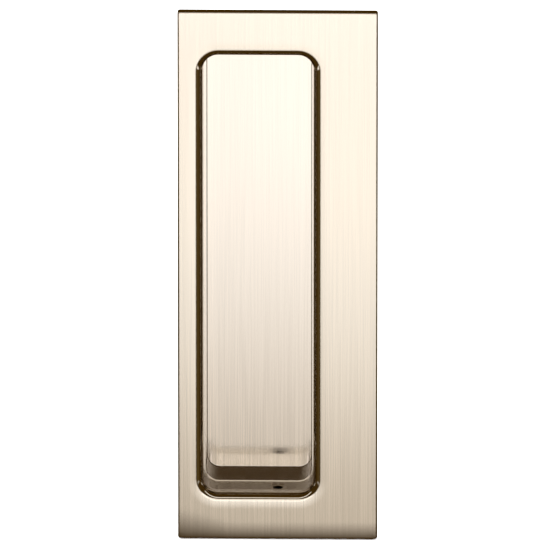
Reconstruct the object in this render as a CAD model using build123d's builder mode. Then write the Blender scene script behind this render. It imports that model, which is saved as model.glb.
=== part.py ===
from build123d import *
from math import cos, radians, sin, tan
import os

os.makedirs("parts", exist_ok=True)

# Recessed handle for a sliding door: a satin plate with an off-centre finger recess.
# The plate's back lies on the door's surface, the plane y = 0, with the origin at its centre. The plate looks
# towards -Y, its long side stands along Z, and the recess goes back into the door along +Y. Millimetres.

# Plate
plate_width = 43.0
plate_height = 120.0
plate_thickness = 1.6
plate_corner_radius = 0.6
plate_edge_radius = 0.4

# Opening: margins from the plate's edges to the recess's walls, where the lip ends
narrow_margin = 5.4
wide_margin = 13.8
end_margin = 10.2
opening_corner_radius = 3.4
shoulder_radius = 34.0  # soft run-in from the face to the lip
shoulder_angle = 3.0
lip_radius = 1.75
wall_draft = 1.5  # degrees, on every wall of the recess

# Collar behind the plate, cast in one with it
collar_depth = 7.8  # from the face to the seam with the cup
collar_side_wall = 2.0
collar_corner_radius = 3.0

# Cup that closes the recess
recess_depth = 16.0  # from the face to the floor
cup_wall = 1.2
cup_flange_thickness = 1.4
cup_flange_setback = 0.25  # the flange stays inside the collar's outline
cup_mouth_step = 0.25  # ledge that the cup's mouth makes inside the collar, all round
cup_floor_radius = 0.1

# Grub screws that wind out of the collar's end walls into the door
grub_diameter = 4.0
grub_length = 5.0
grub_socket = 2.0  # across the flats
grub_socket_depth = 2.0
grub_point_length = 1.3
grub_point_diameter = 0.6
grub_inset = 0.1  # below the recess's wall

# Screws that hold the cup on the collar
screw_diameter = 2.0
screw_length = 5.5
screw_head_diameter = 3.6
screw_head_height = 1.2
screw_head_chamfer = 0.4
screw_slot_width = 0.5
screw_slot_depth = 0.6

# Clearances
thread_clearance = 0.04  # radial, between a screw and its tapped hole
hole_clearance = 0.15  # radial, between a screw and the flange it passes through
head_clearance = 0.4  # round a screw's head on the flange
tip_clearance = 0.6  # from a screw's tip to the bottom of its hole

# Opening and its lip
opening_width = plate_width - narrow_margin - wide_margin
opening_height = plate_height - 2 * end_margin
opening_offset = (narrow_margin - wide_margin) / 2
draft_slope = tan(radians(wall_draft))
shoulder_turn = radians(shoulder_angle)
wall_turn = radians(90 - wall_draft)
shoulder_run = shoulder_radius * sin(shoulder_turn)
shoulder_drop = shoulder_radius * (1 - cos(shoulder_turn))
lip_run = lip_radius * (sin(wall_turn) - sin(shoulder_turn))
lip_depth = shoulder_drop + lip_radius * (cos(shoulder_turn) - cos(wall_turn))

# Outlines at the seam: the end walls leave a land on the flange for the screw heads
seam_y = collar_depth - plate_thickness
cup_outer_grow = cup_wall - cup_mouth_step
cup_outer_half_height = opening_height / 2 + cup_outer_grow - draft_slope * (collar_depth - lip_depth)
screw_row_z = cup_outer_half_height + head_clearance + screw_head_diameter / 2
collar_width = opening_width + 2 * collar_side_wall
collar_height = 2 * (screw_row_z + screw_head_diameter / 2 + head_clearance + cup_flange_setback)

# Screws: the grub screws stand on the plate's centre line, half-way along the collar,
# and a cup screw stands half-way from there to the collar's wide side
grub_y = seam_y / 2
grub_wall_z = opening_height / 2 - draft_slope * (grub_y + plate_thickness - lip_depth)
screw_x = (grub_diameter / 2 + opening_offset + collar_width / 2) / 2
screw_spacing = 2 * (screw_x - opening_offset)

face_plane = Plane.XZ.offset(plate_thickness)
seam_plane = Plane.XZ.offset(-seam_y)
flange_plane = Plane.XZ.offset(-seam_y - cup_flange_thickness)


def recess_section(depth, wall=0.0):
    """Outline of the drafted recess at a depth behind the face, moved outwards by a wall."""
    grow = wall - draft_slope * (depth - lip_depth)
    with BuildSketch(face_plane.offset(-depth)) as section:
        with Locations((opening_offset, 0)):
            RectangleRounded(opening_width + 2 * grow, opening_height + 2 * grow, opening_corner_radius + grow)
    return section.sketch


def collar_section(plane, setback=0.0):
    """Outline of the collar on a plane, moved inwards by setback."""
    with BuildSketch(plane) as section:
        with Locations((opening_offset, 0)):
            RectangleRounded(collar_width - 2 * setback, collar_height - 2 * setback, collar_corner_radius)
    return section.sketch


def screw_places(plane):
    """The four cup screws on a plane parallel to the plate."""
    centre = Location((opening_offset, 0, 0))
    return [plane.location * centre * place for place in GridLocations(screw_spacing, 2 * screw_row_z, 2, 2)]


# Front plate: the plate, its rolled lip and the collar
with BuildPart() as front_plate:
    with BuildSketch(Plane.XZ):
        RectangleRounded(plate_width, plate_height, plate_corner_radius)
    extrude(amount=plate_thickness)
    fillet(front_plate.faces().sort_by(Axis.Y)[0].edges(), plate_edge_radius)
    extrude(collar_section(Plane.XZ), amount=-seam_y)
    extrude(recess_section(0), amount=-collar_depth, taper=wall_draft, mode=Mode.SUBTRACT)

    # The lip is a profile carried round the opening: a shoulder arc, then a tighter arc into the drafted wall
    wall_line = recess_section(lip_depth).wire()
    lip_start = (opening_offset + opening_width / 2, -plate_thickness, 0)
    with BuildSketch(Plane(lip_start)) as lip_profile:
        with BuildLine():
            start = (lip_run + shoulder_run, 0)
            shoulder = TangentArc(start, (lip_run, shoulder_drop), tangent=(-1, 0))
            lip = TangentArc(shoulder @ 1, (0, lip_depth), tangent=shoulder % 1)
            Polyline(lip @ 1, (-lip_radius, lip_depth), (-lip_radius, -lip_radius), (start[0], -lip_radius), start)
        make_face()
    sweep(lip_profile.sketch, path=wall_line, mode=Mode.SUBTRACT)

    # One hole passes through both end walls for the two grub screws
    with Locations((0, grub_y, 0)):
        Cylinder(grub_diameter / 2 + thread_clearance, collar_height, mode=Mode.SUBTRACT)
    with Locations(*screw_places(seam_plane)):
        tapped_depth = screw_length - cup_flange_thickness + tip_clearance
        Cylinder(screw_diameter / 2 + thread_clearance, 2 * tapped_depth, mode=Mode.SUBTRACT)
front_plate.part.label = "front_plate"

# Recess cup: a tray with a flange that closes the collar from behind
with BuildPart() as recess_cup:
    cup_depth = recess_depth - collar_depth
    extrude(recess_section(collar_depth, cup_outer_grow), amount=-cup_depth - cup_wall, taper=wall_draft)
    fillet(recess_cup.faces().sort_by(Axis.Y)[-1].edges(), cup_floor_radius + cup_wall)
    extrude(collar_section(seam_plane, cup_flange_setback), amount=-cup_flange_thickness)
    extrude(recess_section(collar_depth, -cup_mouth_step), amount=-cup_depth, taper=wall_draft, mode=Mode.SUBTRACT)
    floor = recess_cup.faces().filter_by(Axis.Y).sort_by(Axis.Y)[-2]
    fillet(floor.edges(), cup_floor_radius)
    with Locations(*screw_places(seam_plane)):
        Cylinder(screw_diameter / 2 + hole_clearance, 3 * cup_flange_thickness, mode=Mode.SUBTRACT)
recess_cup.part.label = "recess_cup"

# Grub screws: a hexagon socket at the recess's wall and a cone point towards the door
socket_plane = Plane((0, grub_y, grub_wall_z + grub_inset))
with BuildPart(socket_plane) as grub_screws:
    shank_length = grub_length - grub_point_length
    Cylinder(grub_diameter / 2, shank_length, align=(Align.CENTER, Align.CENTER, Align.MIN))
    with Locations((0, 0, shank_length)):
        Cone(grub_diameter / 2, grub_point_diameter / 2, grub_point_length,
             align=(Align.CENTER, Align.CENTER, Align.MIN))
    with BuildSketch(socket_plane):
        RegularPolygon(grub_socket / 2, 6, major_radius=False)
    extrude(amount=grub_socket_depth, mode=Mode.SUBTRACT)
    mirror(about=Plane.XY)
grub_screws.part.label = "grub_screws"

# Cup screws: slotted pan heads behind the flange
with BuildPart() as cup_screws:
    with Locations(*screw_places(flange_plane)):
        Cylinder(screw_diameter / 2, screw_length, align=(Align.CENTER, Align.CENTER, Align.MIN))
        Cylinder(screw_head_diameter / 2, screw_head_height, align=(Align.CENTER, Align.CENTER, Align.MAX))
    head_rims = cup_screws.faces().filter_by(Axis.Y).group_by(Axis.Y)[-1].edges()
    chamfer(head_rims, screw_head_chamfer)
    with Locations(*screw_places(flange_plane.offset(-screw_head_height))):
        Box(screw_head_diameter, screw_slot_width, 2 * screw_slot_depth, mode=Mode.SUBTRACT)
cup_screws.part.label = "cup_screws"

export_step(front_plate.part, "parts/front_plate.step")
export_step(recess_cup.part, "parts/recess_cup.step")
export_step(grub_screws.part, "parts/grub_screws.step")
export_step(cup_screws.part, "parts/cup_screws.step")
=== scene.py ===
import math

import bpy
import numpy as np
from bpy.props import FloatProperty, FloatVectorProperty, PointerProperty
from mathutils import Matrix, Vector


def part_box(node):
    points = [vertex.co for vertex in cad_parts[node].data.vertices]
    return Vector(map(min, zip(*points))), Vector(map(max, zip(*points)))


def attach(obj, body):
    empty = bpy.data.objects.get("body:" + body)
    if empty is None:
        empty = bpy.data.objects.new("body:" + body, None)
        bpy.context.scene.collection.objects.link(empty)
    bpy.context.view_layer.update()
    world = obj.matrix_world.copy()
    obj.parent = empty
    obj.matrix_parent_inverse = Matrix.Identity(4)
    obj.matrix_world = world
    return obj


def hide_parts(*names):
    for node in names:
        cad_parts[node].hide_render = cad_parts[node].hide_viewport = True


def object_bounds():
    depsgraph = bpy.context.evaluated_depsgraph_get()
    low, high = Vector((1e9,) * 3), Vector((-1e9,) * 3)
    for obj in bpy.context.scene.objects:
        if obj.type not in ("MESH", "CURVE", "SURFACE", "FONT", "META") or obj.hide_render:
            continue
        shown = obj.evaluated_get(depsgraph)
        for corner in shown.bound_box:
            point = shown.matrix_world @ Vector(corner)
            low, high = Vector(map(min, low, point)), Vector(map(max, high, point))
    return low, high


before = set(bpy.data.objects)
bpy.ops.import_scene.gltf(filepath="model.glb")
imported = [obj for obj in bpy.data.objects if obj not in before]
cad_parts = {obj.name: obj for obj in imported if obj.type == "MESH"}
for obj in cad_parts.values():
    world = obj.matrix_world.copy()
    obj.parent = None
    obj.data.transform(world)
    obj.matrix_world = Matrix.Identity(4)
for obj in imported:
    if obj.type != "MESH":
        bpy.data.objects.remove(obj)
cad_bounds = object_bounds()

bl_info = {
    "name": "Recessed Handle",
    "version": (1, 0, 0),
    "blender": (4, 5, 0),
    "location": "3D View > Sidebar > Handle",
    "description": "Builds a recessed door handle, its screws, its satin finish and a plain studio stage",
    "category": "Add Mesh",
}

# How the surfaces are sampled and cut, in metres
CORNER_STEPS = 16  # along a rounded corner
LONG_STEPS = 40  # along a long side
SHORT_STEPS = 14  # along a short side
TURN_STEPS = 48  # round a screw or a hole
PITCH_STEPS = 10  # along one pitch of a thread
SHARP_ANGLE = math.radians(28)  # edges that turn further stay sharp
WALL_FACING = 0.7  # a face that looks to the front or the back by less than this is a wall
CUT_PAST = 0.001  # how far a cutter passes the face that it opens
SLOT_CORNER = 0.00001  # radius of a slot cutter's corners

# Form of the threads, in shares of the pitch
THREAD_DEPTH = 0.58
THREAD_FADE = 0.6  # length over which the groove runs out at both ends
THREAD_CREST = 0.452  # from the groove's middle to the crest
THREAD_FLANK = 2.5  # how steeply the groove deepens from the crest, in depths over one pitch

# Where the finish changes, in metres
NOISE_RANGE = (0.3, 0.7)  # what a noise texture mostly gives
BRUSH_LINES = (6500.0, 300.0, 45.0)  # noise cells over one metre across, through and along the brush lines
BRUSH_RELIEF = 0.0000012  # height of the brush lines
BRUSH_SWING = 0.12  # how far the brush lines lighten and darken the colour
LINES_FULL_AT = -0.045  # height below which the brush lines show fully
LINES_FAINT_AT = 0.0  # height above which they show faintly
LINES_FAINT = 0.3
FLAT_FACING = (0.965, 0.999)  # how much a face looks to the front or the back where brushing starts and is full
MATT_START = (0.0001, 0.0002)  # depths behind the door's surface between which the collar's matt band starts
MATT_END = (0.0013, 0.0016)  # depths between which that band ends
BRUSH_END = (0.0462, 0.0470)  # distances from the middle of the recess between which its brushing changes
STEEL_MARKS = 2600.0  # noise cells over one metre of the screws' steel
STEEL_DETAIL = 4.0
STEEL_TINT = (0.82, 1.12)  # how far the marks darken and lighten the steel's colour
STEEL_WEAR = (0.7, 1.4)  # how far they change its roughness

# Floor, sky and camera, in metres
FLOOR_REACH = 3.0
FLOOR_DROP = 0.0002  # from the plate's foot down to the floor
FLOOR_COLOUR = (0.93, 0.93, 0.93)
SKY_STRENGTH = 2.6
VIEW_ACROSS = -0.00058  # the place that the camera looks at
VIEW_UP = 0.0001
VIEW_RANGE = (0.05, 50.0)
SENSOR_WIDTH = 36.0  # millimetres

# Light cards, in metres, as stops of (place, linear colour)
WHITE = (1.0, 1.0, 1.0)
EVEN = ((-1.0, WHITE), (1.0, WHITE))
FRONT_STRENGTH = 1.31
FRONT_REACH = 0.2
FRONT_JOIN = -0.078  # height at which the arch stands on the front card
JOIN_COLOUR = (1.18, 1.115, 1.085)
FRONT_UP = ((-0.300, (0.05, 0.03, 0.01)), (-0.272, (0.10, 0.075, 0.042)), (-0.257, (0.45, 0.4, 0.34)),
            (-0.240, (0.54, 0.483, 0.41)), (-0.199, (0.585, 0.53, 0.458)), (-0.181, (0.74, 0.69, 0.63)),
            (-0.170, (0.88, 0.835, 0.78)), (-0.147, (1.02, 0.995, 0.96)), (-0.124, (1.17, 1.13, 1.08)),
            (-0.100, (1.17, 1.135, 1.09)), (FRONT_JOIN, JOIN_COLOUR))
FRONT_ACROSS = ((-0.2, (0.06, 0.04, 0.02)), (-0.12, (0.1, 0.08, 0.05)), (-0.105, (0.3, 0.28, 0.25)),
                (-0.097, (0.42, 0.40, 0.38)), (-0.087, (0.59, 0.58, 0.57)), (-0.077, (0.72, 0.71, 0.70)),
                (-0.067, (0.83, 0.825, 0.815)), (-0.057, (0.89, 0.885, 0.875)), (-0.03, (0.95, 0.95, 0.95)),
                (0.0, WHITE), (0.07, (1.08, 1.08, 1.08)), (0.085, (0.5, 0.48, 0.46)),
                (0.10, (0.1, 0.08, 0.05)), (0.2, (0.06, 0.04, 0.02)))
ARCH_RADIUS = 0.134
ARCH_ACROSS = -0.004
ARCH_HEIGHT = -0.04
ARCH_UP = ((FRONT_JOIN, JOIN_COLOUR), (-0.055, (1.16, 1.1, 1.07)), (-0.035, (0.9, 0.86, 0.8)),
           (0.0, (0.71, 0.67, 0.61)), (0.05, (0.71, 0.67, 0.61)), (0.074, (0.76, 0.72, 0.66)),
           (0.094, (1.4, 1.34, 1.24)))
HIGH_STRENGTH = 1.2
HIGH_REACH = 0.6
HIGH_COLOUR = (1.0, 0.95, 0.87)
RING_STRENGTH = 1.0

# Shade in front of the plate's foot, in metres
FOOT_HALF_WIDTH = 0.05
FOOT_FRONT = -0.04
FOOT_GAP = 0.0001  # to the floor and to the plate
FOOT_LEFT = (-0.021, -0.010)  # places across, between which the shade's reach changes
FOOT_REACH = (0.020, 0.011)  # how far the shade reaches in front of the plate there


def length(name, description, default):
    """A length in metres that a user can change."""
    return FloatProperty(name=name, description=description, default=default, min=0.0, unit="LENGTH", precision=5)


def turn(name, description, degrees):
    """An angle that a user can change."""
    return FloatProperty(name=name, description=description, default=math.radians(degrees), unit="ROTATION")


def share(name, description, default):
    """A factor from 0 to 1 that a user can change."""
    return FloatProperty(name=name, description=description, default=default, min=0.0, max=1.0, subtype="FACTOR")


def colour(name, description, default):
    """A linear colour that a user can change."""
    return FloatVectorProperty(name=name, description=description, default=default, min=0.0, max=1.0,
                               size=3, subtype="COLOR")


class HandleSizes(bpy.types.PropertyGroup):
    """Sizes of the pieces, the same as the CAD pieces have, with the threads and small chamfers of the screws."""

    plate_thickness: length("Plate thickness", "From the door's surface to the plate's face", 0.0016)
    plate_corner: length("Plate corner", "Radius of the plate's four corners", 0.0006)
    plate_edge: length("Plate edge", "Radius on the edge round the plate's face", 0.0004)
    narrow_margin: length("Narrow margin", "From the plate's edge to the recess on the narrow side", 0.0054)
    wide_margin: length("Wide margin", "From the plate's edge to the recess on the wide side", 0.0138)
    end_margin: length("End margin", "From the plate's edge to the recess at both ends", 0.0102)
    opening_corner: length("Opening corner", "Radius of the recess's corners", 0.0034)
    shoulder_radius: length("Shoulder radius", "Radius of the soft run-in from the face to the lip", 0.034)
    shoulder_angle: turn("Shoulder angle", "How far the run-in turns away from the face", 3.0)
    lip_radius: length("Lip radius", "Radius of the lip between the run-in and the wall", 0.00175)
    wall_draft: turn("Wall draft", "Lean of every wall of the recess", 1.5)
    collar_depth: length("Collar depth", "From the face to the seam between collar and cup", 0.0078)
    collar_corner: length("Collar corner", "Radius of the collar's corners", 0.003)
    recess_depth: length("Recess depth", "From the face to the recess's floor", 0.016)
    cup_wall: length("Cup wall", "Thickness of the cup's sheet", 0.0012)
    flange_thickness: length("Flange thickness", "Thickness of the cup's flange", 0.0014)
    flange_setback: length("Flange setback", "How far the flange stays inside the collar's outline", 0.00025)
    mouth_step: length("Mouth step", "Ledge that the cup's mouth makes inside the collar", 0.00025)
    floor_radius: length("Floor radius", "Radius between the recess's walls and floor", 0.0001)
    grub_diameter: length("Grub diameter", "Outside diameter of the grub screws", 0.004)
    grub_hole: length("Grub hole", "Diameter of the tapped holes in the end walls", 0.00408)
    grub_length: length("Grub length", "Length of the grub screws with their points", 0.005)
    grub_socket: length("Grub socket", "Hexagon socket, across the flats", 0.002)
    grub_socket_depth: length("Grub socket depth", "Depth of the hexagon socket", 0.002)
    grub_socket_chamfer: length("Grub socket chamfer", "Chamfer on the socket's rim", 0.0001)
    grub_chamfer: length("Grub chamfer", "Chamfer on the grub screws' rim", 0.00012)
    grub_point: length("Grub point", "Length of the cone point", 0.0013)
    grub_point_diameter: length("Grub point diameter", "Diameter of the cone point's end", 0.0006)
    grub_pitch: length("Grub pitch", "Pitch of the grub screws' thread", 0.0007)
    screw_diameter: length("Screw diameter", "Outside diameter of the cup screws", 0.002)
    screw_hole: length("Screw hole", "Diameter of the tapped holes in the collar", 0.00208)
    screw_tip_clearance: length("Tip clearance", "From a cup screw's tip to the bottom of its hole", 0.0006)
    flange_hole: length("Flange hole", "Diameter of the clearance holes in the flange", 0.0023)
    screw_head: length("Screw head", "Diameter of the cup screws' heads", 0.0036)
    screw_head_height: length("Head height", "Height of the cup screws' heads", 0.0012)
    screw_crown: length("Head crown", "Radius on the rim of the cup screws' heads", 0.0004)
    screw_slot: length("Slot width", "Width of the slot in the cup screws' heads", 0.0005)
    screw_slot_depth: length("Slot depth", "Depth of the slot in the cup screws' heads", 0.0006)
    screw_neck: length("Screw neck", "Plain length between a cup screw's head and its thread", 0.0002)
    screw_chamfer: length("Screw chamfer", "Chamfer on the cup screws' tips", 0.0003)
    screw_pitch: length("Screw pitch", "Pitch of the cup screws' thread", 0.0004)


class HandleFinish(bpy.types.PropertyGroup):
    """Colours and finish of the pieces."""

    plate_colour: colour("Plate", "Satin plating of the front plate", (0.90, 0.835, 0.74))
    # The cup's plating is set darker than the plate's same plating: painted shade on the recess floor, over the cup's
    # own tone.
    cup_plating_and_shade: colour("Cup", "Satin plating of the recess cup", (0.83, 0.775, 0.71))
    grub_colour: colour("Grub screws", "Plated steel of the grub screws", (0.88, 0.81, 0.71))
    screw_colour: colour("Cup screws", "Plated steel of the cup screws", (0.62, 0.62, 0.60))
    face_roughness: share("Face roughness", "Roughness of the plate's brushed faces", 0.2)
    face_stretch: share("Face stretch", "How far the brush lines spread the plate's highlights sideways", 0.9)
    floor_roughness: share("Floor roughness", "Roughness of the cup's brushed faces", 0.18)
    end_roughness: share("End roughness", "Roughness next to the cup's end walls, where the brush reaches less", 0.155)
    floor_stretch: share("Floor stretch", "How far the brush lines spread the cup's highlights sideways", 0.7)
    lip_roughness: share("Lip roughness", "Roughness of the polished lip and edges", 0.05)
    edge_roughness: share("Edge roughness", "Roughness of the matt band on the collar's walls next to the lip", 0.178)
    collar_roughness: share("Collar roughness", "Roughness of the collar's walls behind that band", 0.112)
    grub_roughness: share("Grub roughness", "Roughness of the grub screws", 0.06)
    screw_roughness: share("Screw roughness", "Roughness of the cup screws", 0.28)
    brush_depth: share("Brush depth", "How strongly the brush lines show", 0.5)


class HandleStage(bpy.types.PropertyGroup):
    """Light, floor and view of the studio stage."""

    view_height: turn("View height", "How far above the horizon the camera looks from", 19.5)
    view_turn: turn("View turn", "How far the camera stands to the right of the plate's middle", 1.0)
    view_distance: length("View distance", "From the camera to the plate", 4.6)
    view_width: length("View width", "Width of the picture at the plate", 0.11813)
    card_distance: length("Card distance", "From the plate to the light cards in front of it", 0.4)
    ring_distance: length("Ring distance", "From the plate to the light cards round it", 2.0)
    surround: colour("Surround", "What the metal mirrors where no card stands", (0.046, 0.024, 0.004))


# Surfaces


def spread(first, last, steps):
    """Values spread evenly from one to another."""
    return np.linspace(first, last, steps + 1)


def between(first, last, steps):
    """Stations that go straight from one (half width, half height, radius, offset, y) to another."""
    along = spread(0, 1, steps)[:, None]
    return (1 - along) * np.array(first) + along * np.array(last)


def outline(half_width, half_height, radius, offset, y):
    """Rounded rectangles, one for each station, as an array of points (station, step, xyz).

    Every point is a sum of the station's values with weights that depend on the step alone: the half sizes less the
    radius give the middle of a corner's arc, the radius times the cosine and sine of the angle gives the arc, and the
    steps between two arcs run straight from one to the other. The steps go round against the clock, seen from -Y."""
    half_width, half_height, radius, offset, y = np.broadcast_arrays(half_width, half_height, radius, offset, y)
    corners = np.array(((1, -1), (1, 1), (-1, 1), (-1, -1)))
    middles = []
    angles = []
    for number, corner in enumerate(corners):
        arc = spread(number - 1, number, CORNER_STEPS) * math.pi / 2
        middles.append(np.tile(corner, (CORNER_STEPS + 1, 1)))
        angles.append(np.stack((np.cos(arc), np.sin(arc)), axis=1))
        steps = LONG_STEPS if number % 2 == 0 else SHORT_STEPS
        along = spread(0, 1, steps)[1:-1, None]
        following = corners[(number + 1) % len(corners)]
        middles.append((1 - along) * corner + along * following)
        angles.append(np.repeat(angles[-1][-1:], steps - 1, axis=0))
    middles = np.concatenate(middles)
    angles = np.concatenate(angles)
    x = offset[:, None] + np.outer(half_width - radius, middles[:, 0]) + np.outer(radius, angles[:, 0])
    z = np.outer(half_height - radius, middles[:, 1]) + np.outer(radius, angles[:, 1])
    return np.stack((x, np.broadcast_to(y[:, None], x.shape), z), axis=2)


def turn_angles():
    """The angles round a turned surface."""
    return np.arange(TURN_STEPS) * 2 * math.pi / TURN_STEPS


def turned(radius, height):
    """A turned surface: at each station and angle a point at that radius from the axis and that height along it.

    Radius and height may each depend on the station alone or on station and angle, as for a hexagon or a thread.
    The angle goes against the clock, seen from the top, and the stations start at the top."""
    angle = turn_angles()
    radius = np.broadcast_to(radius, (len(radius), TURN_STEPS))
    height = np.broadcast_to(height, radius.shape)
    return np.stack((radius * np.cos(angle), radius * np.sin(angle), height), axis=2)


def rod(diameter, top, bottom):
    """A plain turned bar: one radius at the top and the bottom of the axis."""
    return turned(np.full((2, 1), diameter / 2), np.array([[top], [bottom]]))


def thread(radius, pitch, top, bottom):
    """Stations of a right-hand thread from top to bottom: the radius less a groove.

    The height over the pitch less the angle over a full turn gives the place between two crests. From a flat crest
    the groove deepens evenly to a flat root in the middle, and it runs out at both ends of the thread."""
    steps = int(round((top - bottom) / pitch * PITCH_STEPS))
    height = spread(top, bottom, steps)[:, None]
    place = (height / pitch - turn_angles() / (2 * math.pi)) % 1.0
    groove = np.clip((THREAD_CREST - np.abs(place - 0.5)) * THREAD_FLANK, 0.0, 1.0)
    fade = np.clip(np.minimum(top - height, height - bottom) / (THREAD_FADE * pitch), 0.0, 1.0)
    return radius - THREAD_DEPTH * pitch * groove * fade, np.broadcast_to(height, place.shape)


def along_y(points):
    """Turns a surface whose axis is +Z so that its axis is +Y."""
    return np.stack((points[..., 0], points[..., 2], -points[..., 1]), axis=-1)


def skin(points, closed=False):
    """Vertices and faces of a surface of rings: each ring is joined to the next one, and the last one to the first
    if closed. Otherwise a flat face closes both ends."""
    stations, steps = points.shape[:2]
    index = np.arange(stations * steps).reshape(stations, steps)
    if closed:
        index = np.concatenate((index, index[:1]))
    near, far = index[:-1], index[1:]
    quads = np.stack((near, far, np.roll(far, -1, axis=1), np.roll(near, -1, axis=1)), axis=2)
    faces = quads.reshape(-1, 4).tolist()
    if not closed:
        faces.append(index[0].tolist())
        faces.append(index[-1][::-1].tolist())
    return points.reshape(-1, 3), faces


def combine(surfaces):
    """Several surfaces as one list of vertices and one of faces."""
    vertices = []
    faces = []
    count = 0
    for points, polygons in surfaces:
        vertices.append(points)
        faces.extend([[corner + count for corner in polygon] for polygon in polygons])
        count += len(points)
    return np.concatenate(vertices), faces


def new_object(name, surface):
    """A mesh object at the origin from vertices and faces."""
    vertices, faces = surface
    mesh = bpy.data.meshes.new(name)
    mesh.from_pydata(vertices.tolist(), [], faces)
    mesh.validate()
    thing = bpy.data.objects.new(name, mesh)
    bpy.context.scene.collection.objects.link(thing)
    return thing


def cut(thing, surface):
    """Takes closed surfaces out of an object's mesh."""
    cutter = new_object("cutter", surface)
    modifier = thing.modifiers.new("Holes", "BOOLEAN")
    modifier.operation = "DIFFERENCE"
    modifier.solver = "EXACT"
    modifier.object = cutter
    evaluated = thing.evaluated_get(bpy.context.evaluated_depsgraph_get())
    holed = bpy.data.meshes.new_from_object(evaluated)
    thing.modifiers.clear()
    whole = thing.data
    thing.data = holed
    holed.name = thing.name
    bpy.data.meshes.remove(whole)
    spare = cutter.data
    bpy.data.objects.remove(cutter)
    bpy.data.meshes.remove(spare)


def brush_map(mesh):
    """A map whose first direction runs across the brush lines. On faces that look to the front or the back it is the
    place seen from the front, and on the walls it is the depth and the angle round the middle."""
    places = np.empty(len(mesh.vertices) * 3)
    mesh.vertices.foreach_get("co", places)
    corners = np.empty(len(mesh.loops), dtype=int)
    mesh.loops.foreach_get("vertex_index", corners)
    facing = np.empty(len(mesh.polygons) * 3)
    mesh.polygons.foreach_get("normal", facing)
    sides = np.empty(len(mesh.polygons), dtype=int)
    mesh.polygons.foreach_get("loop_total", sides)
    flat = np.repeat(np.abs(facing[1::3]) > WALL_FACING, sides)
    x, y, z = places.reshape(-1, 3)[corners].T
    both = np.stack((np.where(flat, x, y), np.where(flat, z, np.arctan2(z, x))), axis=1)
    mesh.uv_layers.new(name="brush").data.foreach_set("uv", both.ravel())


def finish_piece(thing, node, material):
    """Shades a piece, gives it its material and puts it in the frame in place of its CAD node."""
    thing.data.shade_smooth()
    thing.data.set_sharp_from_angle(angle=SHARP_ANGLE)
    normals = thing.modifiers.new("Flat faces", "WEIGHTED_NORMAL")
    normals.keep_sharp = True
    brush_map(thing.data)
    thing.data.materials.clear()
    thing.data.materials.append(material)
    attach(thing, "root")
    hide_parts(node)


class Shape:
    """Values that follow from the sizes and from the boxes of the CAD pieces."""

    def __init__(self, sizes):
        low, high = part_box("front_plate")
        self.plate_half = ((high[0] - low[0]) / 2, (high[2] - low[2]) / 2)
        self.opening_half = (self.plate_half[0] - (sizes.narrow_margin + sizes.wide_margin) / 2,
                             self.plate_half[1] - sizes.end_margin)
        self.offset = (sizes.narrow_margin - sizes.wide_margin) / 2
        self.slope = math.tan(sizes.wall_draft)
        self.wall_turn = math.pi / 2 - sizes.wall_draft
        self.shoulder_drop = sizes.shoulder_radius * (1 - math.cos(sizes.shoulder_angle))
        self.lip_run = sizes.lip_radius * (math.sin(self.wall_turn) - math.sin(sizes.shoulder_angle))
        self.lip_depth = self.shoulder_drop + sizes.lip_radius * (
            math.cos(sizes.shoulder_angle) - math.cos(self.wall_turn))
        self.seam = sizes.collar_depth - sizes.plate_thickness
        low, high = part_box("recess_cup")
        self.flange_half = ((high[0] - low[0]) / 2, (high[2] - low[2]) / 2)
        self.collar_half = (self.flange_half[0] + sizes.flange_setback, self.flange_half[1] + sizes.flange_setback)
        low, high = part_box("grub_screws")
        self.grub_y = (low[1] + high[1]) / 2
        self.grub_tip = high[2]
        low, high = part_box("cup_screws")
        self.screw_places = [np.array((x, 0.0, z))
                             for x in (low[0] + sizes.screw_head / 2, high[0] - sizes.screw_head / 2)
                             for z in (low[2] + sizes.screw_head / 2, high[2] - sizes.screw_head / 2)]
        self.screw_tip = low[1]
        self.screw_top = high[1]
        self.sizes = sizes

    def recess(self, grow, depth):
        """Stations of the recess's outline, moved outwards by grow, at a depth behind the face."""
        grow, depth = np.broadcast_arrays(np.atleast_1d(grow), np.atleast_1d(depth))
        return np.stack((self.opening_half[0] + grow, self.opening_half[1] + grow, self.sizes.opening_corner + grow,
                         np.full(grow.shape, self.offset), depth - self.sizes.plate_thickness), axis=1)

    def wall(self, wall, depth):
        """Stations of a drafted wall of the recess, moved outwards by a thickness."""
        return self.recess(wall - self.slope * (depth - self.lip_depth), depth)

    def floor_round(self, wall, floor, radius, steps):
        """Stations of the round between a drafted wall and the floor at a depth, from the wall to the floor."""
        draft = self.sizes.wall_draft
        middle = floor - radius
        touch = middle + radius * math.sin(draft)
        grow = wall - self.slope * (touch - self.lip_depth) - radius * math.cos(draft)
        angle = spread(draft, math.pi / 2, steps)
        return self.recess(grow + radius * np.cos(angle), middle + radius * np.sin(angle))


# Finish


def new_material(name):
    """A material with nodes, and its node tree."""
    material = bpy.data.materials.new(name)
    material.use_nodes = True
    return material, material.node_tree


def object_axes(tree):
    """The outputs X, Y and Z of the place on the object, in metres."""
    place = tree.nodes.new("ShaderNodeTexCoord")
    axes = tree.nodes.new("ShaderNodeSeparateXYZ")
    tree.links.new(place.outputs["Object"], axes.inputs["Vector"])
    return axes.outputs


def magnitude(tree, value):
    """A value without its sign."""
    node = tree.nodes.new("ShaderNodeMath")
    node.operation = "ABSOLUTE"
    tree.links.new(value, node.inputs[0])
    return node.outputs["Value"]


def mapped(tree, value, start, end, first=0.0, last=1.0):
    """A value mapped from start and end to first and last, each of which is a number or another node's output."""
    node = tree.nodes.new("ShaderNodeMapRange")
    sources = {"Value": value, "From Min": start, "From Max": end, "To Min": first, "To Max": last}
    for name, source in sources.items():
        if isinstance(source, bpy.types.NodeSocket):
            tree.links.new(source, node.inputs[name])
        else:
            node.inputs[name].default_value = source
    return node.outputs["Result"]


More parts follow.
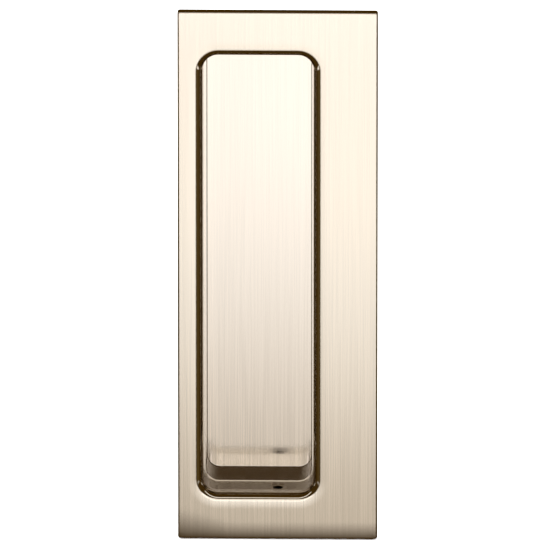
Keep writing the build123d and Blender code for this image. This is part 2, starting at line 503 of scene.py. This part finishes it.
def two_tone(tree, factor, base, darker, lighter):
    """A colour that goes from a darker to a lighter tone of base with a factor."""
    node = tree.nodes.new("ShaderNodeMix")
    node.data_type = "RGBA"
    node.inputs["A"].default_value = [value * darker for value in base] + [1.0]
    node.inputs["B"].default_value = [min(1.0, value * lighter) for value in base] + [1.0]
    tree.links.new(factor, node.inputs["Factor"])
    return node.outputs["Result"]


def brush_group():
    """Node group of fine brush lines along Z that grow fainter towards the top: a mask of the lines, a mask of the
    flat faces and a normal."""
    name = "Brush lines"
    if name in bpy.data.node_groups:
        return bpy.data.node_groups[name]
    group = bpy.data.node_groups.new(name, "ShaderNodeTree")
    group.interface.new_socket("Depth", in_out="INPUT", socket_type="NodeSocketFloat")
    group.interface.new_socket("Lines", in_out="OUTPUT", socket_type="NodeSocketFloat")
    group.interface.new_socket("Flat", in_out="OUTPUT", socket_type="NodeSocketFloat")
    group.interface.new_socket("Normal", in_out="OUTPUT", socket_type="NodeSocketVector")
    nodes, links = group.nodes, group.links
    given = nodes.new("NodeGroupInput")
    result = nodes.new("NodeGroupOutput")

    place = nodes.new("ShaderNodeTexCoord")
    spacing = nodes.new("ShaderNodeMapping")
    spacing.inputs["Scale"].default_value = BRUSH_LINES
    links.new(place.outputs["Object"], spacing.inputs["Vector"])
    noise = nodes.new("ShaderNodeTexNoise")
    noise.inputs["Scale"].default_value = 1.0
    noise.inputs["Detail"].default_value = 0.0
    links.new(spacing.outputs["Vector"], noise.inputs["Vector"])
    reach = mapped(group, object_axes(group)["Z"], LINES_FULL_AT, LINES_FAINT_AT, 1.0, LINES_FAINT)
    lines = nodes.new("ShaderNodeMix")
    lines.inputs["A"].default_value = 0.5
    links.new(reach, lines.inputs["Factor"])
    links.new(mapped(group, noise.outputs["Fac"], *NOISE_RANGE), lines.inputs["B"])

    facing = nodes.new("ShaderNodeNewGeometry")
    normal = nodes.new("ShaderNodeSeparateXYZ")
    links.new(facing.outputs["Normal"], normal.inputs["Vector"])
    flat = mapped(group, magnitude(group, normal.outputs["Y"]), *FLAT_FACING)
    flat.node.interpolation_type = "SMOOTHSTEP"

    strength = nodes.new("ShaderNodeMath")
    strength.operation = "MULTIPLY"
    links.new(flat, strength.inputs[0])
    links.new(given.outputs["Depth"], strength.inputs[1])
    bump = nodes.new("ShaderNodeBump")
    bump.inputs["Distance"].default_value = BRUSH_RELIEF
    links.new(strength.outputs["Value"], bump.inputs["Strength"])
    links.new(lines.outputs["Result"], bump.inputs["Height"])

    links.new(lines.outputs["Result"], result.inputs["Lines"])
    links.new(flat, result.inputs["Flat"])
    links.new(bump.outputs["Normal"], result.inputs["Normal"])
    return group


def satin_metal(name, base, brushed, ends, stretched, behind, finish):
    """Plated metal: brushed on its flat faces, with another roughness at their ends, polished on its lip and edges,
    with the roughness called behind on the walls that lie behind the door's surface."""
    material, tree = new_material(name)
    shader = tree.nodes["Principled BSDF"]
    shader.inputs["Metallic"].default_value = 1.0
    shader.inputs["Anisotropic"].default_value = stretched
    brush = tree.nodes.new("ShaderNodeGroup")
    brush.node_tree = brush_group()
    brush.inputs["Depth"].default_value = finish.brush_depth
    tree.links.new(brush.outputs["Normal"], shader.inputs["Normal"])

    swing = BRUSH_SWING * finish.brush_depth
    tint = two_tone(tree, brush.outputs["Lines"], base, 1 - swing, 1 + swing)
    tree.links.new(tint, shader.inputs["Base Color"])

    axes = object_axes(tree)
    band = mapped(tree, axes["Y"], *MATT_START, finish.lip_roughness, finish.edge_roughness)
    wall = mapped(tree, axes["Y"], *MATT_END, band, behind)
    face = mapped(tree, magnitude(tree, axes["Z"]), *BRUSH_END, brushed, ends)
    tree.links.new(mapped(tree, brush.outputs["Flat"], 0.0, 1.0, wall, face), shader.inputs["Roughness"])

    across = tree.nodes.new("ShaderNodeTangent")
    across.direction_type = "UV_MAP"
    across.uv_map = "brush"
    tree.links.new(across.outputs["Tangent"], shader.inputs["Tangent"])
    return material


def machined_steel(name, base, roughness):
    """Plated steel with fine cloudy marks, which change its colour and its roughness a little."""
    material, tree = new_material(name)
    shader = tree.nodes["Principled BSDF"]
    shader.inputs["Metallic"].default_value = 1.0
    place = tree.nodes.new("ShaderNodeTexCoord")
    marks = tree.nodes.new("ShaderNodeTexNoise")
    marks.inputs["Scale"].default_value = STEEL_MARKS
    marks.inputs["Detail"].default_value = STEEL_DETAIL
    tree.links.new(place.outputs["Object"], marks.inputs["Vector"])
    tint = two_tone(tree, marks.outputs["Fac"], base, *STEEL_TINT)
    tree.links.new(tint, shader.inputs["Base Color"])
    smooth, worn = (roughness * change for change in STEEL_WEAR)
    rough = mapped(tree, marks.outputs["Fac"], *NOISE_RANGE, smooth, worn)
    tree.links.new(rough, shader.inputs["Roughness"])
    return material


# Pieces


class HANDLE_OT_front_plate(bpy.types.Operator):
    """Builds the plate with its rolled lip and collar"""

    bl_idname = "handle.front_plate"
    bl_label = "Front plate"

    def execute(self, context):
        sizes = context.scene.handle_sizes
        shape = Shape(sizes)
        half_width, half_height = shape.plate_half
        face = -sizes.plate_thickness
        edge = sizes.plate_edge

        wall = shape.wall(0.0, spread(sizes.collar_depth, shape.lip_depth, steps=11))
        angle = spread(shape.wall_turn, sizes.shoulder_angle, steps=24)
        lip = shape.recess(sizes.lip_radius * (math.sin(shape.wall_turn) - np.sin(angle)),
                           shape.shoulder_drop + sizes.lip_radius * (math.cos(sizes.shoulder_angle) - np.cos(angle)))
        angle = spread(sizes.shoulder_angle, 0.0, steps=12)
        run_in = sizes.shoulder_radius * (math.sin(sizes.shoulder_angle) - np.sin(angle))
        shoulder = shape.recess(shape.lip_run + run_in, sizes.shoulder_radius * (1 - np.cos(angle)))

        inner = (half_width - edge, half_height - edge, sizes.plate_corner - edge, 0.0, face)
        flat = between(shoulder[-1], inner, steps=8)
        angle = spread(0.0, math.pi / 2, steps=10)
        inset = edge * (1 - np.sin(angle))
        rim = np.stack((half_width - inset, half_height - inset, sizes.plate_corner - inset, 0 * angle,
                        face + edge * (1 - np.cos(angle))), axis=1)
        outer = (half_width, half_height, sizes.plate_corner, 0.0, 0.0)
        side = between(rim[-1], outer, steps=2)
        collar = (*shape.collar_half, sizes.collar_corner, shape.offset, 0.0)
        back = between(outer, collar, steps=6)
        collar_end = (*shape.collar_half, sizes.collar_corner, shape.offset, shape.seam)
        collar_side = between(collar, collar_end, steps=6)
        rear = between(collar_end, wall[0], steps=4)

        stations = np.concatenate((wall, lip[1:], shoulder[1:], flat[1:], rim[1:], side[1:], back[1:],
                                   collar_side[1:], rear[1:-1]))
        plate = new_object("front_plate_piece", skin(outline(*stations.T), closed=True))

        reach = shape.collar_half[1] + CUT_PAST
        grub = rod(sizes.grub_hole, reach, -reach) + np.array((0.0, shape.grub_y, 0.0))
        tapped = along_y(rod(sizes.screw_hole, shape.seam + CUT_PAST, shape.screw_tip - sizes.screw_tip_clearance))
        cut(plate, combine([skin(grub)] + [skin(tapped + place) for place in shape.screw_places]))
        finish = context.scene.handle_finish
        finish_piece(plate, "front_plate",
                     satin_metal("Satin plate", finish.plate_colour, finish.face_roughness, finish.face_roughness,
                                 finish.face_stretch, finish.collar_roughness, finish))
        return {"FINISHED"}


class HANDLE_OT_recess_cup(bpy.types.Operator):
    """Builds the tray with its flange that closes the recess"""

    bl_idname = "handle.recess_cup"
    bl_label = "Recess cup"

    def execute(self, context):
        sizes = context.scene.handle_sizes
        shape = Shape(sizes)
        mouth = sizes.collar_depth
        outer_wall = sizes.cup_wall - sizes.mouth_step
        outer_round = sizes.floor_radius + sizes.cup_wall
        flange_end = shape.seam + sizes.flange_thickness

        floor = shape.floor_round(-sizes.mouth_step, sizes.recess_depth, sizes.floor_radius, steps=10)[::-1]
        wall_low = floor[-1][4] + sizes.plate_thickness
        wall = shape.wall(-sizes.mouth_step, spread(wall_low, mouth, steps=9))
        flange = (*shape.flange_half, sizes.collar_corner, shape.offset, shape.seam)
        front = between(wall[-1], flange, steps=3)
        flange_back = (*shape.flange_half, sizes.collar_corner, shape.offset, flange_end)
        outside = shape.floor_round(outer_wall, sizes.recess_depth + sizes.cup_wall, outer_round, steps=12)
        outer_low = outside[0][4] + sizes.plate_thickness
        outer = shape.wall(outer_wall, spread(mouth + sizes.flange_thickness, outer_low, steps=5))
        back = between(flange_back, outer[0], steps=3)

        stations = np.concatenate((floor, wall[1:], front[1:], [flange_back], back[1:], outer[1:], outside[1:]))
        cup = new_object("recess_cup_piece", skin(outline(*stations.T)))
        passing = along_y(rod(sizes.flange_hole, flange_end + CUT_PAST, shape.seam - CUT_PAST))
        cut(cup, combine([skin(passing + place) for place in shape.screw_places]))
        finish = context.scene.handle_finish
        # The cup's darker colour paints shade on the recess floor.
        finish_piece(cup, "recess_cup",
                     satin_metal("Satin cup", finish.cup_plating_and_shade, finish.floor_roughness, finish.end_roughness,
                                 finish.floor_stretch, finish.lip_roughness, finish))
        return {"FINISHED"}


class HANDLE_OT_grub_screws(bpy.types.Operator):
    """Builds the two threaded grub screws"""

    bl_idname = "handle.grub_screws"
    bl_label = "Grub screws"

    def execute(self, context):
        sizes = context.scene.handle_sizes
        finish = context.scene.handle_finish
        shape = Shape(sizes)
        radius = sizes.grub_diameter / 2
        rim = sizes.grub_socket_chamfer
        floor = -sizes.grub_socket_depth
        tip = -sizes.grub_length
        ring = np.ones(TURN_STEPS)
        sixth = math.pi / 3
        hexagon = sizes.grub_socket / 2 / np.cos((turn_angles() + sixth / 2) % sixth - sixth / 2)
        floor_middle = 0.12 * hexagon

        # From the middle of the socket's floor over the rim and down the thread, with the rim at height 0
        upper = ((floor_middle, floor), (hexagon, floor), (hexagon, -rim), (hexagon + rim, 0.0),
                 ((radius - sizes.grub_chamfer) * ring, 0.0))
        groove, height = thread(radius, sizes.grub_pitch, -sizes.grub_chamfer, tip + sizes.grub_point)
        radii = np.concatenate(([r for r, _ in upper], groove, [sizes.grub_point_diameter / 2 * ring]))
        heights = np.concatenate(([h * ring for _, h in upper], height, [tip * ring]))
        points = turned(radii, heights)

        # The screw is made with its point down, and the upper one is turned over
        seat = sizes.grub_length - shape.grub_tip
        lower_screw = points + np.array((0.0, shape.grub_y, seat))
        upper_screw = points * np.array((1.0, -1.0, -1.0)) + np.array((0.0, shape.grub_y, -seat))
        screws = new_object("grub_screws_piece", combine([skin(lower_screw), skin(upper_screw)]))
        finish_piece(screws, "grub_screws", machined_steel("Grub steel", finish.grub_colour, finish.grub_roughness))
        return {"FINISHED"}


class HANDLE_OT_cup_screws(bpy.types.Operator):
    """Builds the four slotted screws that hold the cup"""

    bl_idname = "handle.cup_screws"
    bl_label = "Cup screws"

    def execute(self, context):
        sizes = context.scene.handle_sizes
        finish = context.scene.handle_finish
        shape = Shape(sizes)
        radius = sizes.screw_diameter / 2
        head = sizes.screw_head / 2
        crown = sizes.screw_crown
        top = shape.screw_top
        under = top - sizes.screw_head_height
        ring = np.ones(TURN_STEPS)
        head_middle = 0.3 * head

        # From the middle of the head over its rim and down the thread
        dome = [(head - crown + crown * math.sin(angle), top - crown + crown * math.cos(angle))
                for angle in spread(0.0, math.pi / 2, steps=8)]
        upper = [(head_middle, top)] + dome + [(head, under), (radius, under)]
        groove, height = thread(radius, sizes.screw_pitch, under - sizes.screw_neck,
                                shape.screw_tip + sizes.screw_chamfer)
        radii = np.concatenate(([r * ring for r, _ in upper], groove, [(radius - sizes.screw_chamfer) * ring]))
        heights = np.concatenate(([h * ring for _, h in upper], height, [shape.screw_tip * ring]))
        points = along_y(turned(radii, heights))
        screws = new_object("cup_screws_piece", combine([skin(points + place) for place in shape.screw_places]))

        slot = outline(head + CUT_PAST, sizes.screw_slot / 2, SLOT_CORNER, 0.0,
                       np.array((top - sizes.screw_slot_depth, top + CUT_PAST)))
        cut(screws, combine([skin(slot + place) for place in shape.screw_places]))
        finish_piece(screws, "cup_screws", machined_steel("Plated steel", finish.screw_colour, finish.screw_roughness))
        return {"FINISHED"}


# Stage


def plain_sheet(name, corners):
    """A flat stage object with its corners in order."""
    sheet = new_object(name, (np.array(corners, dtype=float), [list(range(len(corners)))]))
    return sheet


def level_sheet(name, left, right, front, back, height):
    """A level stage object."""
    return plain_sheet(name, ((left, front, height), (right, front, height), (right, back, height),
                              (left, back, height)))


def hide_from_view(sheet):
    """Leaves a stage object to the mirror rays alone."""
    sheet.visible_camera = False
    sheet.visible_diffuse = False
    sheet.visible_shadow = False
    sheet.visible_transmission = False


def colour_ramp(tree, place, stops):
    """Colours along a coordinate, with stops of (place in metres, colour)."""
    first, last = stops[0][0], stops[-1][0]
    ramp = tree.nodes.new("ShaderNodeValToRGB")
    tree.links.new(mapped(tree, place, first, last), ramp.inputs["Fac"])
    elements = ramp.color_ramp.elements
    elements.remove(elements[-1])
    elements[0].position = 0.0
    elements[0].color = (*stops[0][1], 1.0)
    for position, value in stops[1:]:
        elements.new((position - first) / (last - first)).color = (*value, 1.0)
    return ramp.outputs["Color"]


def card_material(name, axis, up, across, strength):
    """A light card: colours up the card times colours along an axis across it."""
    material, tree = new_material(name)
    nodes, links = tree.nodes, tree.links
    nodes.remove(nodes["Principled BSDF"])
    axes = object_axes(tree)
    product = nodes.new("ShaderNodeMix")
    product.data_type = "RGBA"
    product.blend_type = "MULTIPLY"
    product.inputs["Factor"].default_value = 1.0
    links.new(colour_ramp(tree, axes["Z"], up), product.inputs["A"])
    links.new(colour_ramp(tree, axes[axis], across), product.inputs["B"])
    glow = nodes.new("ShaderNodeEmission")
    glow.inputs["Strength"].default_value = strength
    links.new(product.outputs["Result"], glow.inputs["Color"])
    links.new(glow.outputs["Emission"], nodes["Material Output"].inputs["Surface"])
    return material


def upright(near, far, stops):
    """Corners of an upright card between two places on the ground plan, as high as its stops."""
    bottom, top = stops[0][0], stops[-1][0]
    return ((*near, bottom), (*far, bottom), (*far, top), (*near, top))


def light_card(name, corners, axis, up, across, strength):
    """A flat card that glows and that only mirror rays see."""
    card = plain_sheet(name, corners)
    hide_from_view(card)
    card.data.materials.append(card_material(name, axis, up, across, strength))


def shade_material(name, front, dark):
    """A dark sheet that fades out away from the plate's front, later on the left."""
    material, tree = new_material(name)
    nodes, links = tree.nodes, tree.links
    nodes.remove(nodes["Principled BSDF"])
    axes = object_axes(tree)
    reach = mapped(tree, axes["X"], *FOOT_LEFT, *(front - distance for distance in FOOT_REACH))
    clear = nodes.new("ShaderNodeBsdfTransparent")
    glow = nodes.new("ShaderNodeEmission")
    glow.inputs["Color"].default_value = (*dark, 1.0)
    mixed = nodes.new("ShaderNodeMixShader")
    links.new(mapped(tree, axes["Y"], reach, front), mixed.inputs[0])
    links.new(clear.outputs["BSDF"], mixed.inputs[1])
    links.new(glow.outputs["Emission"], mixed.inputs[2])
    links.new(mixed.outputs["Shader"], nodes["Material Output"].inputs["Surface"])
    return material


def make_floor(ground):
    """A pale floor that the metal doesn't mirror."""
    floor = level_sheet("floor", -FLOOR_REACH, FLOOR_REACH, -FLOOR_REACH, FLOOR_REACH, ground)
    floor.visible_glossy = False
    material, tree = new_material("Pale floor")
    shader = tree.nodes["Principled BSDF"]
    shader.inputs["Base Color"].default_value = (*FLOOR_COLOUR, 1.0)
    shader.inputs["Roughness"].default_value = 1.0
    shader.inputs["Specular IOR Level"].default_value = 0.0
    floor.data.materials.append(material)


def make_sky(scene, stage):
    """A white sky that the metal mirrors as the dark surround."""
    world = bpy.data.worlds.new("Studio")
    world.use_nodes = True
    scene.world = world
    nodes, links = world.node_tree.nodes, world.node_tree.links
    sky = nodes["Background"]
    sky.inputs["Color"].default_value = (*WHITE, 1.0)
    sky.inputs["Strength"].default_value = SKY_STRENGTH
    dark = nodes.new("ShaderNodeBackground")
    dark.inputs["Color"].default_value = (*stage.surround, 1.0)
    path = nodes.new("ShaderNodeLightPath")
    choice = nodes.new("ShaderNodeMixShader")
    links.new(path.outputs["Is Glossy Ray"], choice.inputs[0])
    links.new(sky.outputs["Background"], choice.inputs[1])
    links.new(dark.outputs["Background"], choice.inputs[2])
    links.new(choice.outputs["Shader"], nodes["World Output"].inputs["Surface"])


def make_front_cards(stage):
    """The cards in front of the plate: one low down, an arch on top of it and a band high up."""
    far = -stage.card_distance
    shade = tuple(stage.surround)
    corners = upright((-FRONT_REACH, far), (FRONT_REACH, far), FRONT_UP)
    light_card("front_card", corners, "X", FRONT_UP, FRONT_ACROSS, FRONT_STRENGTH)

    start = math.asin((FRONT_JOIN - ARCH_HEIGHT) / ARCH_RADIUS)
    angle = spread(start, math.pi - start, steps=64)
    arch = np.stack((ARCH_ACROSS + ARCH_RADIUS * np.cos(angle), np.full(angle.shape, far),
                     ARCH_HEIGHT + ARCH_RADIUS * np.sin(angle)), axis=1)
    light_card("front_card_top", arch, "X", ARCH_UP, EVEN, FRONT_STRENGTH)

    high_up = ((0.225, shade), (0.235, HIGH_COLOUR), (0.315, HIGH_COLOUR), (0.325, shade))
    corners = upright((-HIGH_REACH, far), (HIGH_REACH, far), high_up)
    light_card("high_card", corners, "X", high_up, EVEN, HIGH_STRENGTH)


def make_ring_cards(stage):
    """The cards round the part, which light its sides and its back and leave the heights dark that the lip mirrors
    from the front. Their stops and half widths are shares of the ring's distance."""
    away = stage.ring_distance
    shade = tuple(stage.surround)
    soft = (0.078, 0.05, 0.015)
    dim = (0.3, 0.275, 0.24)
    pale = (0.75, 0.7, 0.63)
    low_up = ((-0.56, shade), (-0.535, (0.8, 0.745, 0.675)), (-0.43, (0.85, 0.795, 0.72)), (-0.42, soft),
              (-0.312, soft), (-0.302, dim), (-0.222, dim), (-0.212, shade))
    side_up = ((-0.15, shade), (-0.14, (0.55, 0.51, 0.45)), (0.03, pale), (0.07, pale), (0.08, shade))
    back_up = ((-0.60, shade), (-0.55, (0.4, 0.36, 0.31)), (-0.27, (0.8, 0.75, 0.68)), (-0.1, (0.45, 0.41, 0.36)),
               (-0.06, shade))
    cards = (("low", 45, 0.26, "X", low_up), ("side", 90, 0.13, "Y", side_up), ("back", 150, 0.62, "X", back_up))
    for name, bearing, half_width, axis, shares in cards:
        up = tuple((height * away, tone) for height, tone in shares)
        for word, hand in (("right", 1), ("left", -1)):
            middle = np.array((hand * math.sin(math.radians(bearing)), -math.cos(math.radians(bearing))))
            along = np.array((-middle[1], middle[0])) * half_width
            corners = upright((middle - along) * away, (middle + along) * away, up)
            light_card(f"{name}_card_{word}", corners, axis, up, EVEN, RING_STRENGTH)


def make_foot_shade(stage, front, ground):
    """The shade that the plate's lower edge mirrors."""
    foot = level_sheet("foot_shade", -FOOT_HALF_WIDTH, FOOT_HALF_WIDTH, FOOT_FRONT, front - FOOT_GAP,
                       ground + FOOT_GAP)
    hide_from_view(foot)
    foot.data.materials.append(shade_material("Foot shade", front, stage.surround))


def make_camera(scene, stage, front):
    """A camera with a long lens that looks down at the plate."""
    camera = bpy.data.objects.new("camera", bpy.data.cameras.new("camera"))
    scene.collection.objects.link(camera)
    scene.camera = camera
    up, side = stage.view_height, stage.view_turn
    back = Vector((math.sin(side) * math.cos(up), -math.cos(side) * math.cos(up), math.sin(up)))
    aim = Vector((VIEW_ACROSS, front / 2, VIEW_UP))
    camera.location = aim + back * stage.view_distance
    camera.rotation_euler = back.to_track_quat("Z", "Y").to_euler()
    camera.data.sensor_width = SENSOR_WIDTH
    camera.data.lens = SENSOR_WIDTH * stage.view_distance / stage.view_width
    camera.data.clip_start, camera.data.clip_end = VIEW_RANGE
    scene.view_settings.view_transform = "Standard"


class HANDLE_OT_stage(bpy.types.Operator):
    """Sets the floor, the light cards and the camera"""

    bl_idname = "handle.stage"
    bl_label = "Studio stage"

    def execute(self, context):
        scene = context.scene
        stage = scene.handle_stage
        low, _ = cad_bounds
        front = low[1]
        ground = low[2] - FLOOR_DROP
        make_floor(ground)
        make_sky(scene, stage)
        make_front_cards(stage)
        make_ring_cards(stage)
        make_foot_shade(stage, front, ground)
        make_camera(scene, stage, front)
        return {"FINISHED"}


class HANDLE_PT_panel(bpy.types.Panel):
    """Sizes, colours and steps of the handle"""

    bl_idname = "HANDLE_PT_panel"
    bl_label = "Recessed handle"
    bl_space_type = "VIEW_3D"
    bl_region_type = "UI"
    bl_category = "Handle"

    def draw(self, context):
        layout = self.layout
        for operator in OPERATORS:
            layout.operator(operator.bl_idname)
        for group in (context.scene.handle_sizes, context.scene.handle_finish, context.scene.handle_stage):
            box = layout.box()
            for name in group.bl_rna.properties.keys():
                if name not in ("rna_type", "name"):
                    box.prop(group, name)


OPERATORS = (HANDLE_OT_front_plate, HANDLE_OT_recess_cup, HANDLE_OT_grub_screws, HANDLE_OT_cup_screws,
             HANDLE_OT_stage)
CLASSES = (HandleSizes, HandleFinish, HandleStage, *OPERATORS, HANDLE_PT_panel)


def register():
    for entry in CLASSES:
        bpy.utils.register_class(entry)
    bpy.types.Scene.handle_sizes = PointerProperty(type=HandleSizes)
    bpy.types.Scene.handle_finish = PointerProperty(type=HandleFinish)
    bpy.types.Scene.handle_stage = PointerProperty(type=HandleStage)


def unregister():
    del bpy.types.Scene.handle_stage
    del bpy.types.Scene.handle_finish
    del bpy.types.Scene.handle_sizes
    for entry in reversed(CLASSES):
        bpy.utils.unregister_class(entry)


def main():
    register()
    bpy.ops.handle.front_plate()
    bpy.ops.handle.recess_cup()
    bpy.ops.handle.grub_screws()
    bpy.ops.handle.cup_screws()
    bpy.ops.handle.stage()


if __name__ == "__main__":
    main()
